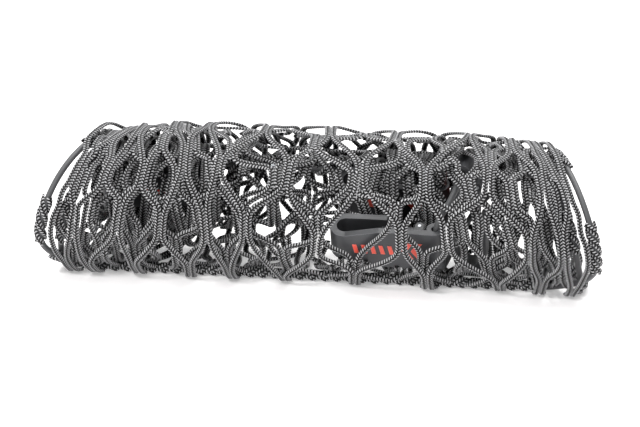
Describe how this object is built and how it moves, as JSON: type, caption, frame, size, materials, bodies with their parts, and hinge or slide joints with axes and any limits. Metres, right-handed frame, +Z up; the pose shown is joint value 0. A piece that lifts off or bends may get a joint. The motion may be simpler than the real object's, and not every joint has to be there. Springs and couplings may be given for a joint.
{
  "type": "rolled elastic cargo net",
  "caption": "Elastic knitted cargo net rolled up into a bundle, with a shock cord rim and gated plastic hooks threaded on the cord.",
  "frame": {"origin": "centre of the bundle's underside, on the surface it rests on", "axes": "+X along the roll, +Z up, -Y the front where the sheet's outer edge lies"},
  "size_m": [0.4502, 0.1196, 0.1155],
  "materials": {
    "netting": "knitted",
    "rim_cord": "braided",
    "hook_nylon": "moulded",
    "mark_red": "moulded",
    "zinc_steel": "zinc plated"
  },
  "bodies": {
    "rolled_net": {"net_outer_ply": "netting", "net_second_ply": "netting", "net_third_ply": "netting", "net_core_ply": "netting", "rim_cord": "rim_cord", "rim_cord_ferrule": "zinc_steel"},
    "hook_1": {"hook_1_body": "hook_nylon", "hook_1_gate_pin": "zinc_steel", "hook_1_gate_spring": "zinc_steel", "hook_1_mark": "mark_red"},
    "hook_1_gate": {"hook_1_gate": "hook_nylon"},
    "hook_2": {"hook_2_body": "hook_nylon", "hook_2_gate_pin": "zinc_steel", "hook_2_gate_spring": "zinc_steel", "hook_2_mark": "mark_red"},
    "hook_2_gate": {"hook_2_gate": "hook_nylon"},
    "hook_3": {"hook_3_body": "hook_nylon", "hook_3_gate_pin": "zinc_steel", "hook_3_gate_spring": "zinc_steel", "hook_3_mark": "mark_red"},
    "hook_3_gate": {"hook_3_gate": "hook_nylon"},
    "hook_4": {"hook_4_body": "hook_nylon", "hook_4_gate_pin": "zinc_steel", "hook_4_gate_spring": "zinc_steel", "hook_4_mark": "mark_red"},
    "hook_4_gate": {"hook_4_gate": "hook_nylon"}
  },
  "joints": [
    {"name": "hook_1_swing", "type": "hinge", "parent": "rolled_net", "child": "hook_1", "pos_m": [0.093, -0.03674, 0.03887], "axis": [0, 0.4226, -0.9063], "range_deg": [0, 3]},
    {"name": "hook_1_gate_hinge", "type": "hinge", "parent": "hook_1", "child": "hook_1_gate", "pos_m": [0.079, -0.02622, 0.04377], "axis": [0, -0.4226, 0.9063], "range_deg": [0, 20], "stiffness_Nm_per_rad": 0.03, "springref_deg": -20.05},
    {"name": "hook_2_swing", "type": "hinge", "parent": "rolled_net", "child": "hook_2", "pos_m": [0.111, 0, 0.094], "axis": [0, -1, 0], "range_deg": [0, 30]},
    {"name": "hook_2_gate_hinge", "type": "hinge", "parent": "hook_2", "child": "hook_2_gate", "pos_m": [0.1226, 0, 0.08], "axis": [0, 1, 0], "range_deg": [0, 20], "stiffness_Nm_per_rad": 0.03, "springref_deg": -20.05},
    {"name": "hook_3_swing", "type": "hinge", "parent": "rolled_net", "child": "hook_3", "pos_m": [0.092, 0.00953, 0.0615], "axis": [0, 0.5, -0.866], "range_deg": [-2, 4]},
    {"name": "hook_3_gate_hinge", "type": "hinge", "parent": "hook_3", "child": "hook_3_gate", "pos_m": [0.078, 0.01957, 0.0673], "axis": [0, -0.5, 0.866], "range_deg": [0, 20], "stiffness_Nm_per_rad": 0.03, "springref_deg": -20.05},
    {"name": "hook_4_swing", "type": "hinge", "parent": "rolled_net", "child": "hook_4", "pos_m": [-0.179, 0.00953, 0.0615], "axis": [0, -0.5, 0.866], "range_deg": [-2, 4]},
    {"name": "hook_4_gate_hinge", "type": "hinge", "parent": "hook_4", "child": "hook_4_gate", "pos_m": [-0.165, 0.01957, 0.0673], "axis": [0, 0.5, -0.866], "range_deg": [0, 20], "stiffness_Nm_per_rad": 0.03, "springref_deg": -20.05}
  ]
}
